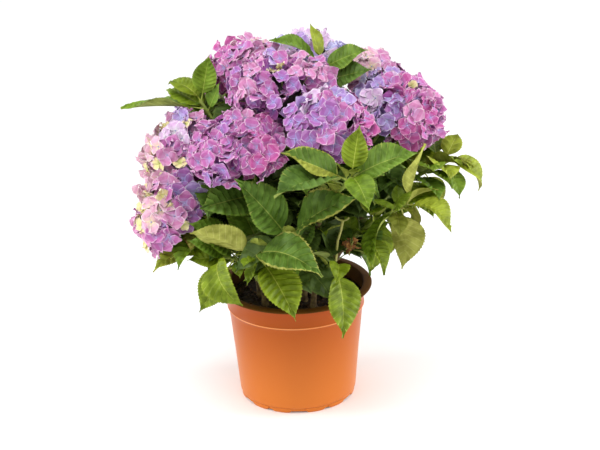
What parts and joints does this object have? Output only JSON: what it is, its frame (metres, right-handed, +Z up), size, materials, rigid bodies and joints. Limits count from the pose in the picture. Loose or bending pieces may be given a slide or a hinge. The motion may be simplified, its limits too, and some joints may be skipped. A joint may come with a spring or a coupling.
{
  "type": "potted hydrangea shrub",
  "caption": "Mophead hydrangea in bloom, a round leafy shrub with lilac and pink flower heads, standing in a tapered plastic nursery pot.",
  "frame": {"origin": "middle of the pot's flat underside, on the pot's axis", "axes": "+Z up along the pot's axis, -Y towards the side that the picture shows as the front, +X to the right seen from the front"},
  "size_m": [0.5254, 0.4962, 0.562],
  "materials": {
    "pot_plastic": "satin",
    "potting_soil": "matte",
    "cane": "matte",
    "leaf": "satin",
    "bloom": "matte"
  },
  "bodies": {
    "root": {"pot": "pot_plastic", "soil": "potting_soil", "cane_back_left": "cane", "cane_back_lower": "cane", "cane_back_right": "cane", "cane_back_upper": "cane", "cane_front_left": "cane", "cane_front_right": "cane", "cane_left_lower": "cane", "cane_left_upper": "cane", "cane_right": "cane", "cane_tip_front": "cane", "cane_tip_front_left": "cane", "cane_tip_front_low": "cane", "cane_tip_front_right": "cane", "cane_tip_left": "cane", "cane_tip_left_upper": "cane", "cane_tip_right": "cane", "cane_tip_right_upper": "cane", "cane_tip_top": "cane", "cane_top_back": "cane", "cane_top_front": "cane", "cane_top_left": "cane", "cane_top_right": "cane", "flower_back_left": "bloom", "flower_back_lower": "bloom", "flower_back_right": "bloom", "flower_back_upper": "bloom", "flower_front_left": "bloom", "flower_front_right": "bloom", "flower_left_lower": "bloom", "flower_left_upper": "bloom", "flower_right": "bloom", "flower_top_back": "bloom", "flower_top_front": "bloom", "flower_top_left": "bloom", "flower_top_right": "bloom", "leaves_back_left": "leaf", "leaves_back_lower": "leaf", "leaves_back_right": "leaf", "leaves_back_upper": "leaf", "leaves_front_left": "leaf", "leaves_front_right": "leaf", "leaves_left_lower": "leaf", "leaves_left_upper": "leaf", "leaves_right": "leaf", "leaves_tip_front": "leaf", "leaves_tip_front_left": "leaf", "leaves_tip_front_low": "leaf", "leaves_tip_front_right": "leaf", "leaves_tip_left": "leaf", "leaves_tip_left_upper": "leaf", "leaves_tip_right": "leaf", "leaves_tip_right_upper": "leaf", "leaves_tip_top": "leaf", "leaves_top_back": "leaf", "leaves_top_front": "leaf", "leaves_top_left": "leaf", "leaves_top_right": "leaf"}
  },
  "joints": []
}
